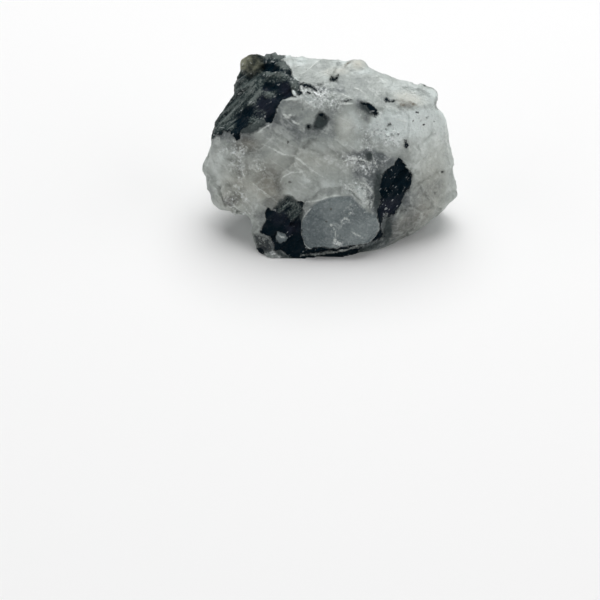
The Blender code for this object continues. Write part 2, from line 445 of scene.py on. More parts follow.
# What the photograph shows of each mark.
SEEN: dict[Mark, tuple[Shape, ...]] = {
    Mark.TOURMALINE: (
        CROWN_MASS, LENS, FOOT_PATCH, FOOT_STRIP, FOOT_CORNER, CROWN_GRAIN, CROWN_SPOT, CROWN_DASH,
        *ovals(
            (308.5, 92.5, 1.7, 1.1, 20), (320.5, 114.8, 2.4, 1.9, 20), (324.5, 118.4, 1.7, 1.3, 50),
            (316.2, 126.5, 2, 1.5), (308.8, 127, 1.7, 1.7), (405.8, 144.3, 1.9, 3.8, -10),
            (389.4, 125.3, 1.6, 0.9, -30), (421, 120, 1, 0.7, 20), (428, 117.5, 1.1, 0.7, -10),
            (434, 121.5, 1.1, 0.7, 30), (424, 124.5, 1, 1), (398.5, 134.4, 1.1, 1), (417, 112, 1.1, 0.9),
            (425.5, 85, 1.3, 1), (442, 172, 1.4, 1.1),
        ),
        *streaks(
            (2.9, (296, 84), (305, 85), (312, 87), (321, 91)), (3.2, (297, 85), (299, 91), (303, 95)),
            (1.7, (342, 101.3), (347, 100.8), (351.5, 99.8)),
        ),
    ),
    Mark.FIBRE: (
        outline(
            (277, 207), (284, 200), (292, 199), (297, 205), (303, 207), (303, 216), (300, 221),
            (292, 219), (287, 214), (280, 213),
        ),
        outline(
            (238, 68), (250, 72), (262, 76), (272, 80), (266, 88), (262, 94), (250, 112), (239, 130),
            (230, 131), (211, 138), (204, 132), (222, 104), (231, 80),
        ),
        *ovals(
            (274, 56, 13, 5), (294, 85, 3.5, 7, -10), (269.5, 93, 4.5, 4), (284, 66, 6, 5, 20),
            (276, 76, 12, 4, 8), (255, 118, 9, 8, -30),
        ),
    ),
    Mark.VIOLET: (
        outline(
            (258, 90), (264, 88), (276, 95), (279, 99), (273.6, 111), (266, 119), (257, 116), (252, 106),
        ),
        outline((280, 81), (292, 80), (290.5, 96.8), (283.4, 97.5), (279, 90)),
        outline((381, 200), (401, 196), (399, 207), (389, 216), (382, 219), (379, 206)),
        *ovals((292, 228, 7, 6, -30), (281, 218, 9, 7)),
    ),
    Mark.GRANULAR: (
        outline(
            (254, 232.5), (261, 234.3), (270, 238), (272, 243), (271, 250.4), (264.6, 252),
            (257.5, 249.5), (255.7, 241.4),
        ),
    ),
    Mark.PLATE: (
        PLATE,
        outline((276, 229), (285, 232), (290, 236), (289, 242), (282, 246), (274, 240)),
    ),
    Mark.FROST: (
        outline(
            (300, 95), (303, 89), (318, 87), (331, 92), (339, 100), (339, 108), (331, 107), (323, 109),
            (314, 107), (306, 101),
        ),
        outline(
            (342, 182), (352, 180), (362, 182), (371, 187), (376, 195), (374, 204), (370, 211),
            (362, 204), (352, 193),
        ),
        *ovals(
            (384, 134, 15, 8, 28), (362, 166, 9, 4, 20), (366, 138, 3.2, 12, -12), (357, 160, 14, 3, 4),
            (235, 150, 9, 5, 10), (236, 168, 6, 9, -20), (238, 196, 6, 8, -30), (240, 212, 7, 5, 20),
            (257.3, 168, 4.6, 5.6), (346.5, 216, 4.6, 1.5, -46), (338.5, 242.5, 2.6, 2.2),
            (274, 255, 7, 2.4, 4),
        ),
    ),
    Mark.CREAM: (
        *ovals((250.5, 63, 11, 11), (409, 98.5, 10, 4.5, 14), (339, 70, 9, 2.4, -14), (358, 64, 5, 4)),
    ),
    Mark.RUST: (
        *ovals((405, 105.5, 5.5, 1.8, 6)),
        *streaks(
            (3, (396, 100), (403, 101.5), (409, 103), (414, 105), (418, 106.5)),
            (1.6, (345.5, 66), (348.5, 63), (352, 61.5)),
        ),
    ),
    # Pale veins, with painted glints: the short white dashes on the crumbly wedge and in front below the
    # crown are painted glints.
    Mark.VEIN_AND_GLINT: (
        *ovals(
            (350, 212.8, 1.7, 1.3, -50), (345.2, 217.2, 2.2, 1.2, -35), (341.4, 221.4, 1.8, 1.1, -20),
            (348.4, 219.6, 1.5, 1, 10), (331.5, 224.4, 1.7, 1.2, 20), (339.4, 243.4, 2.2, 1.7),
            (334.8, 239.6, 1.5, 1.7), (290, 115, 1.8, 1.3, 40), (352.5, 186.5, 2.2, 1.4, 30),
            (364.5, 193.5, 2, 1.5, 40), (367.5, 203, 1.5, 2.2, -20),
        ),
        *streaks(
            (1.1, (278, 234), (281, 236.4), (284.6, 236.6)), (0.9, (333, 226), (335.5, 232), (335, 238)),
            (1.4, (350, 230.5), (357, 234.5), (363, 236.5)),
            (1.3, (301.5, 224), (304, 217), (309, 210), (313, 206)),
            (
                2.1, (262, 144), (270, 147), (277, 151), (285, 155), (296, 156.6), (301, 160.5),
                (307, 166), (314, 171.5), (325, 177.5),
            ),
            (2.2, (340, 103.7), (346, 103.4), (353, 103.4)),
            (1.8, (284, 100.3), (292, 99), (301, 97.7), (307.5, 102.5), (315, 107.5)),
            (2.7, (282, 112.6), (287, 117), (291, 118.4)),
            (2.3, (291.5, 119.8), (295, 122.4), (299.6, 123.8)),
            (1.3, (257, 133), (264, 127.5), (271, 124)),
            (1.8, (341, 162.5), (348, 159.5), (355, 158), (367.5, 161.3), (375, 164)),
            (1.3, (371, 150), (373.8, 160), (379, 171)),
            (2.5, (342.5, 183), (350, 188.5), (358, 195), (364, 202), (369.5, 210.5)),
            (2.1, (358, 181), (367, 186), (374.5, 194), (373.5, 202), (370, 210.5)),
            (1.7, (236, 190.5), (241, 192.5), (243.5, 198)),
            (1.6, (234.5, 202), (238.5, 206.5), (243, 206)), (1.6, (347, 182), (352, 184.5), (355, 188)),
            (1.5, (359, 187), (361, 192), (366, 196)), (1.7, (349, 186), (355, 189), (359, 190.5)),
            (1.8, (354, 193), (360, 196), (367, 201)), (1.7, (362, 199), (366, 203), (369, 208)),
            (1.2, (278.8, 186), (282.5, 177.5), (291, 172.5), (305, 171.3)),
            (
                1.15, (294, 198.8), (305, 202), (312, 201.5), (320, 199.8), (330, 196.4), (342.5, 195),
                (350, 195.6),
            ),
            (
                1.15, (302, 214), (300.8, 226), (301.5, 235), (305, 244), (311, 249), (322, 247.5),
                (336, 248),
            ),
            (1, (336, 248.3), (347, 246.2), (358, 245.2), (368, 242.5), (376, 235)),
            (1.3, (320, 252.6), (334, 251.8), (348, 250.2)), (1.4, (252, 183), (262, 190.5), (270, 196)),
            (0.7, (301, 74.5), (309, 69), (317, 62), (324, 58)),
            (1.4, (340, 92.5), (346, 95.5), (350, 97.5)), (1.4, (354, 87.5), (360, 90), (364, 93.7)),
            (1.1, (376, 76), (384, 82), (390, 84)), (1.3, (390, 117.5), (398, 119.5), (410, 122.5)),
            (1.3, (376, 119), (386, 127), (399, 134)), (1.4, (444, 118), (446.5, 140), (451, 168)),
            (1, (438, 108), (441, 120), (442, 134)),
        ),
    ),
    Mark.SUNK: (
        outline(
            (320, 111.5), (325, 114.5), (328.5, 119), (327, 125.5), (321, 129.5), (313.5, 129.5),
            (313.5, 125), (315, 120), (317, 115),
        ),
        outline((359, 102), (367, 105), (373, 110), (376, 116), (369, 114), (362, 109)),
        *ovals(
            (308.8, 127, 2.6, 2.6), (378.2, 190, 4.6, 20, 4), (387.5, 229, 4.6, 12, 6),
            (369, 156, 3.6, 4.6),
        ),
        *streaks(
            (7, (274, 210), (283, 203), (289, 200), (296, 204), (302, 207)),
            (5, (300, 208), (301, 216), (300, 224)), (14, (238, 131), (248, 128), (257, 123), (267, 121)),
            (4.6, (352, 253.5), (368, 248), (384, 240.5)),
            (6, (272, 248), (284, 256), (300, 260), (330, 262), (350, 256)),
        ),
    ),
}

# Pale places left inside the tourmaline.
GAPS: tuple[Shape, ...] = (
    outline((290.5, 89.5), (293.5, 90), (296, 92.5), (298, 96), (294, 96.5), (292.5, 94)),
    outline((277.5, 231), (284.5, 233.5), (287.5, 236.5), (286.4, 240.5), (281, 243.6), (275.4, 239)),
    outline((384.8, 214), (388, 213), (386.3, 223), (384.8, 229), (382, 228), (382.4, 219.6)),
    *streaks((2.1, (300, 256), (311, 254.6), (331.6, 252.8), (346, 250), (372, 244))),
)

# Where the stone is paler, or darker below 0, partly its own tone and partly painted light and shade, and
# where it is browner, partly stains and partly painted brown shade.
GLOWS: dict[Tint, tuple[Glow, ...]] = {
    # Paler and darker: the stone's own tone, with painted light and shade, such as the painted highlight
    # on the knob's left rim and the painted shade beside the lens.
    Tint.TONE_AND_SHADE: glows(
        (322, 72, 24, 16, 0, -0.15, CROWN_STEP), (302, 118, 42, 26, 12, -0.57, CLEAR_FRONT),
        (352, 122, 15, 12, 0, 0.24, CLEAR_FRONT), (318, 66, 24, 10, 4, 0.06), (302, 66, 10, 12, 20, -0.1),
        (360, 84, 24, 12, 16, -0.12), (410, 90, 30, 10, 16, 0.16), (292, 110, 12, 5, 12, 0.14),
        (300, 99, 18, 7, 14, 0.2), (382, 124, 26, 13, 25, 0.95), (394, 130, 12, 6, 20, 0.3),
        (304, 96, 16, 4, 10, 0.12), (344, 142, 8, 4, -30, 0.14), (425, 117, 27, 9, 4, 0.75),
        (412, 124, 10, 6, 0, 0.2), (363, 113, 7, 13, -20, -0.75), (366, 133, 5, 12, 0, -0.2),
        (366, 156, 24, 6, 4, -0.55), (388, 162, 10, 5, 0, -0.35), (388, 226, 6, 12, 10, -1),
        (380, 241, 16, 6, -25, -0.9), (240, 143, 26, 9, -4, -0.28), (245, 138, 8, 5, 0, -0.4),
        (267, 125, 10, 4, 0, -0.3), (304, 114, 24, 13, 8, 0.26, CLEAR_FRONT), (318, 144, 13, 10, 0, 0.2),
        (290, 151, 8, 6, 0, 0.14), (343, 126, 7, 14, 0, 0.22), (357, 69, 14, 6, 15, 0.5),
        (338, 65, 10, 4, 0, 0.25), (321, 77, 7, 5, 0, 0.2), (322, 89, 21, 5, 5, -0.28),
        (406, 200, 5, 12, 0, -0.4), (230, 200, 8, 6, 0, -0.38), (209, 190, 5, 16, -10, -0.35),
        (307, 207, 5, 8, 0, -0.36), (258, 220, 6, 9, 0, -0.3), (340, 245, 18, 4, 0, -0.12),
        (296, 170, 13, 5, 0, -0.14), (448, 170, 8, 32, 0, 0.16), (387, 231, 6, 9, 0, -0.7),
        (368, 154, 5, 13, 0, -0.55), (373, 187, 7, 8, 0, -0.55), (370, 117, 6, 7, 0, -0.5),
        (380, 112, 6, 6, 0, -0.35), (408, 107, 7, 4, 0, -0.6), (321, 92, 9, 5, 0, -0.35),
        (341, 92, 5, 12, 0, -0.22), (408, 128, 24, 8, 4, 0.55), (386, 126, 8, 5, 0, 0.35),
        (436, 131, 10, 8, 0, 0.35), (434, 98, 10, 12, 0, 0.2), (307, 124, 10, 8, 0, 0.26),
        (320, 113, 8, 5, 0, 0.3), (318, 147, 12, 6, 0, 0.14), (345, 131, 8, 6, 0, 0.18),
        (405, 170, 5, 9, 0, 0.35), (327, 187, 15, 5, -6, 0.24), (311, 166, 8, 5, 0, 0.12),
        (287, 197, 6, 5, 0, 0.35), (292, 152, 6, 5, 0, 0.18), (300, 61, 8, 4, 0, 0.3),
        (330, 75, 5, 8, 25, 0.18), (250, 153, 15, 6, 0, -0.28), (243, 170, 7, 7, 0, -0.16),
        (222, 135, 12, 5, 0, -0.42), (212, 148, 5, 8, 0, -0.25), (352, 158, 10, 5, 0, -0.4),
        (287, 211, 6, 7, 0, -0.26), (414, 200, 9, 14, 0, -0.16), (393, 199, 5, 9, 0, 0.22),
        (432, 203, 7, 9, 0, 0.2), (245, 190, 7, 5, 0, 0.14), (229, 176, 6, 10, 0, 0.12),
        (232, 201, 8, 5, 0, -0.24), (385, 172, 7, 9, 0, -0.2), (376, 209, 6, 8, 0, -0.35),
        (362, 203, 9, 5, 0, -0.14), (335, 165, 22, 14, 30, 0.04), (382, 160, 7, 8, 0, -0.26),
        (328, 190, 22, 6, 8, -0.22), (276, 205, 18, 8, -20, -0.18), (270, 184, 15, 20, -20, -0.37),
        (257, 168, 5, 6, 0, 0.2), (240, 203, 6, 11, 10, 0.14), (255, 194, 9, 9, 40, 0.14),
        (220, 172, 9, 26, 10, 0.1), (240, 185, 9, 26, 10, -0.1), (364, 171, 12, 11, 0, -0.75),
        (374, 186, 6, 24, 3, -0.7), (364, 197, 8, 13, -30, 0.2), (430, 148, 16, 30, 6, 0.26),
        (430, 190, 22, 14, -10, -0.24), (405, 226, 34, 14, -30, -0.46), (291, 208, 11, 8, 0, 0.35),
        (282, 238, 8, 8, 0, -0.14), (272, 250, 16, 9, 0, -0.4), (270, 68, 10, 3.6, 4, -1.2),
        (264, 81, 3, 8, -20, -0.3), (268, 95, 6, 3, 0, 0.5), (294, 85, 4, 8, -10, 1.2),
        (283, 65, 8, 4, 10, 0.5), (269, 92, 6, 5, 0, 0.4), (270, 88, 6, 4, 0, -1.2),
        (243, 118, 4.6, 13, 32, -1.3), (270, 119, 5, 4, 0, -1.2), (250, 88, 8, 9, 30, 0.2),
        (254, 98, 10, 2.4, -55, 0.8), (275, 54, 13, 3.8, 4, 1.6), (275, 74, 12, 2.6, 8, 0.6),
        (228, 116, 16, 3, -52, 0.35), (286, 90, 6, 8, 0, -0.7), (242, 60, 5, 10, 20, 2.2),
        (258, 60, 5, 8, 0, -1), (309, 230, 13, 20, 0, -0.26), (331, 214, 12, 8, 0, -0.05),
        (366, 226, 13, 12, 0, 0.12), (352, 238, 14, 6, 0, 0.05), (342, 202, 18, 7, 0, 0.1),
    ),
    # Browner: brown stains, and painted brown shade under the black mass's lower edge and on the
    # underside at the lower right.
    Tint.WARMTH: glows(
        (262, 178, 62, 56, 0, 0.22), (430, 170, 30, 60, 6, 0.22), (268, 184, 16, 22, -20, 0.75),
        (236, 190, 18, 30, 10, 0.55), (247, 145, 14, 8, 0, 0.6), (300, 160, 26, 14, 0, 0.25),
        (345, 128, 11, 15, 0, 0.5), (335, 160, 26, 16, 0, 0.3), (410, 224, 30, 14, -32, 0.55),
        (432, 180, 16, 40, 6, 0.35), (358, 66, 8, 5, 0, 0.6),
    ),
}

# Marks on the sides that the photograph does not show.
HIDDEN: dict[Mark, tuple[Pocket, ...]] = {
    Mark.TOURMALINE: (
        Pocket((-15.5, 5.5, 33), (8, 5, 5)),
        Pocket((-22.5, -0.5, 25), (3.2, 4.5, 5)),
        Pocket((3, 14, 20), (9, 3, 3.2)),
        Pocket((15, 10.5, 8.5), (3, 3.2, 5)),
        Pocket((-13, 12, 9), (4, 3, 2.2)),
        Pocket((24, 2, 17), (1.5, 1.6, 3)),
    ),
    Mark.FIBRE: (
        Pocket((-16.5, 5.5, 32), (6, 6, 6)),
        Pocket((4, 14, 20), (6, 3, 3)),
    ),
    Mark.FROST: (
        Pocket((-6, 13, 26), (6, 5, 3.2)),
        Pocket((20, 8, 22), (4, 5, 4.5)),
    ),
    Mark.CREAM: (Pocket((-20.5, 4, 31), (2.2, 2.2, 2.2)),),
    Mark.RUST: (Pocket((11, 13.5, 26), (3, 2, 0.9)),),
}


# Materials as expressions


class Wire:
    """The value of a socket in a recipe, with arithmetic written as Python expressions."""

    def __init__(self, recipe: Recipe, socket: bpy.types.NodeSocket) -> None:
        """Keeps the recipe and the socket that the value comes out of."""
        self.recipe = recipe
        self.socket = socket

    def _maths(self, operation: str, *terms: Any, clamp: bool = False) -> Wire:
        """Adds one Math node.

        Args:
            operation: The Math node's operation.
            terms: Its inputs in order, wires or numbers.
            clamp: Whether the result is held between 0 and 1.

        Returns:
            The node's value.
        """
        settings = {"operation": operation, "use_clamp": clamp}
        made = self.recipe.node("ShaderNodeMath", settings, dict(enumerate(terms)))
        return Wire(self.recipe, made.outputs[0])

    def __add__(self, other: Wire | float) -> Wire:
        """Adds."""
        return self._maths("ADD", self, other)

    def __sub__(self, other: Wire | float) -> Wire:
        """Takes away."""
        return self._maths("SUBTRACT", self, other)

    def __rsub__(self, other: float) -> Wire:
        """Takes away from a number."""
        return self._maths("SUBTRACT", other, self)

    def __mul__(self, other: Wire | float) -> Wire:
        """Multiplies."""
        return self._maths("MULTIPLY", self, other)

    def __truediv__(self, other: Wire | float) -> Wire:
        """Divides."""
        return self._maths("DIVIDE", self, other)

    def held(self) -> Wire:
        """Holds the value between 0 and 1."""
        return self._maths("ADD", self, 0.0, clamp=True)

    def above(self, limit: float, width: float) -> Wire:
        """Gives 0 below a limit and 1 above it, with a ramp of the given width between."""
        return ((self - limit) / width + 0.5).held()

    def larger(self, other: Wire | float) -> Wire:
        """Keeps the larger of two values."""
        return self._maths("MAXIMUM", self, other)

    def ridged(self) -> Wire:
        """Folds a noise about its middle, so that its middle becomes a sharp crest of 1."""
        return 1.0 - self._maths("ABSOLUTE", self - 0.5) * 2.0


class Recipe:
    """A material under construction around its Principled shader."""

    def __init__(self, name: str) -> None:
        """Starts an empty material with its shader and its place socket.

        Args:
            name: The material's name.
        """
        self.material = bpy.data.materials.new(name)
        self.material.use_nodes = True
        self.tree = self.material.node_tree
        self.shader = self.tree.nodes["Principled BSDF"]
        coordinates = self.node("ShaderNodeTexCoord")
        self.place = coordinates.outputs["Object"]

    def node(
        self,
        kind: str,
        settings: dict[str, Any] | None = None,
        values: dict[Any, Any] | None = None,
    ) -> bpy.types.Node:
        """Adds one node.

        Args:
            kind: The node's type.
            settings: Its properties, which are set first.
            values: What goes into its sockets, by name or number: wires, sockets or plain values.

        Returns:
            The node.
        """
        made = self.tree.nodes.new(kind)
        for name, value in (settings or {}).items():
            setattr(made, name, value)
        for name, value in (values or {}).items():
            self.feed(made.inputs[name], value)
        return made

    def feed(self, target: bpy.types.NodeSocket, value: Any) -> None:
        """Links a wire or a socket to a target socket, or sets a plain value on it.

        Args:
            target: The socket that is fed.
            value: A wire, a socket or a plain value.
        """
        if isinstance(value, Wire):
            self.tree.links.new(value.socket, target)
        elif isinstance(value, bpy.types.NodeSocket):
            self.tree.links.new(value, target)
        else:
            target.default_value = value

    def lay_over(self, shader: bpy.types.Node, share: Wire) -> None:
        """Lays a second shader over the first one.

        Args:
            shader: The second shader.
            share: How much of it shows.
        """
        mixer = self.node(
            "ShaderNodeMixShader",
            None,
            {0: share, 1: self.shader.outputs["BSDF"], 2: shader.outputs["BSDF"]},
        )
        self.feed(self.tree.nodes["Material Output"].inputs["Surface"], mixer.outputs["Shader"])

    def read(self, measure: Mark | Tint) -> Wire:
        """Reads how deep inside a mark the surface is, in mm, or the sum of a tint's glows."""
        made = self.node("ShaderNodeAttribute", {"attribute_name": measure.value})
        return Wire(self, made.outputs["Fac"])

    def vector(self, operation: str, values: dict[Any, Any]) -> bpy.types.Node:
        """Adds one Vector Math node."""
        return self.node("ShaderNodeVectorMath", {"operation": operation}, values)

    def along(self, axis: Place, squeeze: float) -> bpy.types.NodeSocket:
        """Squeezes the place along an axis, so that a pattern read there runs along it.

        Args:
            axis: The direction, of length 1.
            squeeze: How long a step along it becomes.

        Returns:
            The socket of the squeezed place.
        """
        dot = self.vector("DOT_PRODUCT", {0: self.place, 1: axis})
        reach = Wire(self, dot.outputs["Value"]) * (1.0 - squeeze)
        step = self.vector("SCALE", {0: axis, "Scale": reach})
        return self.vector("SUBTRACT", {0: self.place, 1: step.outputs[0]}).outputs[0]

    def grain(self, length_mm: float, detail: float = 3.0, place: Any = None) -> Wire:
        """Adds a soft noise.

        Args:
            length_mm: The size of its lumps.
            detail: How many finer noises are laid over it.
            place: Where it is read, or None for the plain place.

        Returns:
            Its value, from 0 to 1.
        """
        values = {
            "Vector": self.place if place is None else place,
            "Scale": 1.0 / (length_mm * MM),
            "Detail": detail,
        }
        return Wire(self, self.node("ShaderNodeTexNoise", None, values).outputs[0])

    def cells(self, size_mm: float, output: str = "Distance", place: Any = None) -> Wire:
        """Adds a pattern of cells.

        Args:
            size_mm: The size of a cell.
            output: Distance for how far its middle is, or Color for its own random number.
            place: Where it is read, or None for the plain place.

        Returns:
            The value asked for.
        """
        values = {
            "Vector": self.place if place is None else place,
            "Scale": 1.0 / (size_mm * MM),
        }
        made = self.node("ShaderNodeTexVoronoi", None, values)
        if output == "Distance":
            return Wire(self, made.outputs["Distance"])
        parts = self.node("ShaderNodeSeparateColor", None, {0: made.outputs["Color"]})
        return Wire(self, parts.outputs[0])

    def blend(self, share: Wire | float, under: Any, over: Any) -> bpy.types.NodeSocket:
        """Mixes two colours.

        Args:
            share: How much of the upper colour shows.
            under: The lower colour, plain or a socket.
            over: The upper colour, plain or a socket.

        Returns:
            The socket of the mixed colour.
        """
        settings = {"data_type": "RGBA", "clamp_factor": True}
        values = {0: share, 6: opaque(under), 7: opaque(over)}
        return self.node("ShaderNodeMix", settings, values).outputs[2]


def opaque(colour: Any) -> Any:
    """Gives a plain colour its alpha, and leaves a socket as it is."""
    return (*colour, 1.0) if isinstance(colour, tuple) else colour


@dataclass(frozen=True)
class StoneFinish:
    """The colours, the gloss and the grain sizes of the minerals, and the colour of their painted glints.
    Colours are linear.
    """

    milk: Colour = (0.73, 0.80, 0.785)
    haze: Colour = (0.400, 0.436, 0.415)
    smoke: Colour = (0.12, 0.14, 0.145)
    warm: Colour = (0.60, 0.60, 0.52)
    warm_deep: Colour = (0.15, 0.14, 0.11)
    frost: Colour = (0.84, 0.88, 0.86)
    plate_deep: Colour = (0.08, 0.11, 0.12)
    plate_pale: Colour = (0.22, 0.26, 0.265)
    vein_and_glint: Colour = (0.78, 0.82, 0.79)
    cream: Colour = (0.60, 0.59, 0.52)
    sunk: Colour = (0.050, 0.070, 0.066)
    rust: Colour = (0.085, 0.070, 0.040)
    fleck: Colour = (0.05, 0.05, 0.04)
    ink: Colour = (0.0004, 0.0072, 0.0130)
    violet: Colour = (0.014, 0.018, 0.030)
    fibre: Colour = (0.054, 0.074, 0.072)
    strand: Colour = (0.18, 0.21, 0.20)
    tan: Colour = (0.32, 0.325, 0.24)
    tan_deep: Colour = (0.045, 0.05, 0.038)
    painted_glint: Colour = (0.86, 0.90, 0.90)
    subsurface: float = 0.18
    scatter: Colour = (0.9, 0.95, 0.9)
    refraction: float = 1.53
    bump: float = 0.45 * MM
    pale_roughness: float = 0.40
    black_roughness: float = 0.34
    black_gloss: float = 0.04
    coat_roughness: float = 0.2
    growth: Place = (-0.675, -0.082, -0.734)
    cleavage: Place = (0.80, -0.20, -0.565)
    broad_mm: float = 7.0
    middle_mm: float = 2.4
    fine_mm: float = 0.75
    dust_mm: float = 0.28
    crack_mm: float = 3.2
    flake_mm: float = 0.34
    fibre_mm: float = 0.5
    bundle_mm: float = 1.7
    glint_speck_mm: float = 0.24
    crumb_mm: float = 0.55
    fleck_gap_mm: float = 5.2

    def make(self) -> bpy.types.Material:
        """Writes the whole finish.

        Returns:
            The material.
        """
        recipe = Recipe("feldspar_with_tourmaline")
        broad, middle = recipe.grain(self.broad_mm, 3.0), recipe.grain(self.middle_mm, 5.0)
        fine, dust = recipe.grain(self.fine_mm, 4.0), recipe.grain(self.dust_mm, 2.0)
        wander = (fine - 0.5) * 0.75 + (dust - 0.5) * 0.35
        shares = {mark: self.share(recipe, mark, wander) for mark in Mark}
        cracks = recipe.grain(self.crack_mm, 6.0, recipe.along(self.cleavage, 0.25)).ridged()
        sparkle = recipe.cells(self.flake_mm, "Color")
        grit = shares[Mark.GRANULAR] * (dust * 0.8 + fine * 0.8 - 0.3).above(0.42, 0.14)
        black = shares[Mark.TOURMALINE].larger(shares[Mark.SUNK] * 0.48).larger(grit * 0.85)
        pale = self.pale_colour(recipe, shares, (broad, middle, fine, dust), cracks, sparkle)

        fibres = recipe.grain(self.fibre_mm, 4.0, recipe.along(self.growth, 0.28))
        bundles = recipe.grain(self.bundle_mm, 4.0, recipe.along(self.growth, 0.4))
        dark = recipe.blend(shares[Mark.VIOLET] * (middle * 1.6).held(), self.ink, self.violet)
        tone_and_shade, crest = recipe.read(Tint.TONE_AND_SHADE), recipe.read(Tint.CREST)
        # Painted light and shade on the black mineral: its fibres, strands and specks and the knob's tan
        # are paler where the tone-and-shade glows and the crests are high.
        lit = tone_and_shade * 0.35 + crest * 0.25
        streaks = (fibres * 0.6 + bundles * 0.7 - 0.12 + lit).above(0.50, 0.24)
        streaks = streaks * (shares[Mark.FIBRE] * 0.98 + 0.02)
        dark = recipe.blend(streaks, dark, self.fibre)
        strands = shares[Mark.FIBRE] * (fibres * 0.7 + dust * 0.5 - 0.1 + lit).above(0.58, 0.1)
        dark = recipe.blend(strands * 0.7, dark, self.strand)
        frays = (dust * 0.9 + fine * 0.6 - 0.25 + lit * 0.5).above(0.60, 0.07)
        dark = recipe.blend(frays * shares[Mark.FIBRE] * 0.55, dark, self.strand)
        # The knob's tan runs from its shaded copy, tan_deep, to its lit copy, tan, as painted light and
        # shade mixed with noise.
        tan = recipe.blend((lit + middle * 2.0 - 0.7).held(), self.tan_deep, self.tan)
        dark = recipe.blend(shares[Mark.CREAM] * (fine * 1.7).held(), dark, tan)
        # Painted glints: tiny white specks on the black mineral.
        glint_specks = recipe.cells(self.glint_speck_mm, "Color", recipe.along(self.growth, 0.45))
        glint_specks = glint_specks.above(0.93, 0.03)
        glint_specks = glint_specks * (fine + middle - 0.5 + lit).above(0.56, 0.08)
        dark = recipe.blend(glint_specks * 0.34, dark, self.painted_glint)

        frost, plate = shares[Mark.FROST], shares[Mark.PLATE]
        gloss = (fine - 0.5) * 0.6 + frost * 0.14 - plate * 0.12 + self.pale_roughness
        height = fine * 0.5 + dust * 0.25 + middle * 0.5
        height = height * (1.0 - plate * 0.6)
        height = height + (frost * 0.5 + 0.1) * (1.0 - recipe.cells(self.crumb_mm))
        height = height + cracks.above(0.93, 0.05) * 0.12
        height = height + black * (fibres.ridged() * 0.6 + bundles * 0.8)
        bump = recipe.node("ShaderNodeBump", None, {"Distance": self.bump, "Height": height})
        common = {"Normal": bump.outputs["Normal"], "IOR": self.refraction}
        milky = {
            **common,
            "Base Color": pale,
            "Roughness": gloss.held(),
            "Subsurface Weight": self.subsurface,
            "Subsurface Radius": self.scatter,
            "Subsurface Scale": MM,
        }
        for name, value in milky.items():
            recipe.feed(recipe.shader.inputs[name], value)
        glassy = (fibres * 0.7 + dust * 0.5 - 0.1).above(0.56, 0.1)
        inky = {
            **common,
            "Base Color": dark,
            "Roughness": ((fine - 0.5) * 0.5 + self.black_roughness).held(),
            "Specular IOR Level": self.black_gloss,
            "Coat Weight": (glassy * (shares[Mark.FIBRE] * 0.35 + 0.15)).held(),
            "Coat Roughness": self.coat_roughness,
        }
        recipe.lay_over(recipe.node("ShaderNodeBsdfPrincipled", None, inky), black)
        return recipe.material

    def pale_colour(
        self,
        recipe: Recipe,
        shares: dict[Mark, Wire],
        grains: tuple[Wire, Wire, Wire, Wire],
        cracks: Wire,
        sparkle: Wire,
    ) -> Any:
        """Mixes the colour of the feldspar and of everything in it but the black mineral.

        Args:
            recipe: The material that the wires are in.
            shares: How much of each mark is here.
            grains: Four noises, from the broadest to the finest.
            cracks: A crest that runs along the cleavage.
            sparkle: A random number for each tiny flake.

        Returns:
            The colour socket.
        """
        broad, middle, fine, dust = grains
        frost, rest = shares[Mark.FROST], 1.0 - shares[Mark.PLATE]
        tone_and_shade, facet_seam = recipe.read(Tint.TONE_AND_SHADE), recipe.read(Tint.FACET_SEAM)
        halo = (recipe.read(Mark.TOURMALINE) + 1.1 + (middle - 0.5) * 2.0) / 1.3
        clear = (broad - 0.5) * 0.30 + (middle - 0.5) * 0.42 + (fine - 0.5) * 0.30 + 0.53
        # Painted highlight and shade: the feldspar is paler on crests and darker in hollows, and takes
        # the painted light and shade of the tone-and-shade glows.
        clear = clear + tone_and_shade + recipe.read(Tint.CREST) * 0.30 + frost * 0.10 - halo.held() * 0.22
        brown = recipe.blend(clear.held(), self.warm_deep, self.warm)
        deep = (broad - 0.5) * 0.9 + (middle - 0.5) * 1.1 + (fine - 0.5) * 0.4 + tone_and_shade * 2.0 + 0.38
        plate = recipe.blend(deep.held(), self.plate_deep, self.plate_pale)
        crumbs = frost * (middle * 0.8 + fine * 0.7 + dust * 0.5 - 0.5).above(0.56, 0.16)
        lines = cracks.above(0.95, 0.04) * (broad + middle - 0.5).above(0.53, 0.15)
